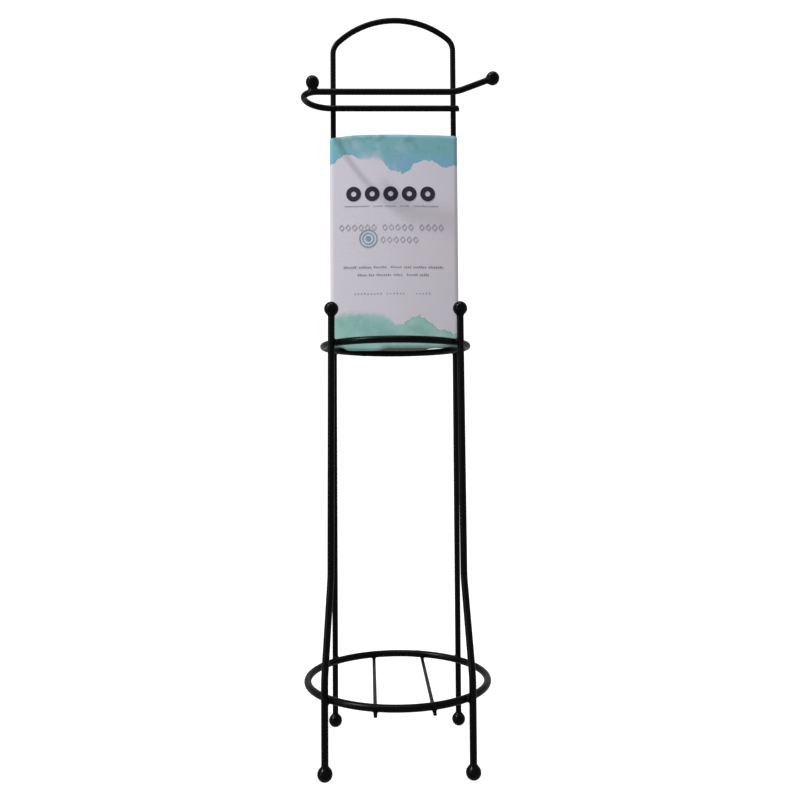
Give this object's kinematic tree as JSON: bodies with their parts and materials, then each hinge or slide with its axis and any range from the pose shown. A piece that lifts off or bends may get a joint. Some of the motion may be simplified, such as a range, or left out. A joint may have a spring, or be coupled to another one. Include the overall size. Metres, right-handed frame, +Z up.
{
  "type": "toilet paper holder",
  "caption": "Free-standing black wire toilet roll holder: rear hoop and front legs on ball feet, a ringed cage for spare rolls, a looped roll arm and a printed card sleeve.",
  "frame": {"origin": "on the floor, at the middle of the circle that the ball feet stand on, on the axis of the lower ring", "axes": "+Z up, front towards -Y, the roll arm's open tip towards +X"},
  "size_m": [0.178, 0.1641, 0.6599],
  "materials": {
    "painted_wire": "satin black powder coat on mild steel wire",
    "painted_ball": "satin black powder coat on steel balls",
    "painted_weld": "satin black powder coat over weld metal",
    "printed_card": "offset-printed folding boxboard, uncoated grey board inside"
  },
  "bodies": {
    "stand": {"rear_hoop": "painted_wire", "front_leg_left": "painted_wire", "front_leg_right": "painted_wire", "mid_ring": "painted_wire", "bottom_ring": "painted_wire", "cross_wire_left": "painted_wire", "cross_wire_right": "painted_wire", "roll_arm": "painted_wire", "arm_end_ball": "painted_ball", "arm_stop_ball": "painted_ball", "leg_top_ball_left": "painted_ball", "leg_top_ball_right": "painted_ball", "foot_ball_front_left": "painted_ball", "foot_ball_front_right": "painted_ball", "foot_ball_rear_left": "painted_ball", "foot_ball_rear_right": "painted_ball", "mid_ring_welds": "painted_weld", "bottom_ring_welds": "painted_weld", "arm_welds": "painted_weld", "stop_ball_weld": "painted_weld", "cross_wire_welds": "painted_weld"},
    "sleeve": {"card_sleeve": "printed_card"}
  },
  "joints": [
    {"name": "sleeve_lift", "type": "slide", "parent": "stand", "child": "sleeve", "axis": [0, 0, 1], "range_m": [0, 0.02]}
  ]
}
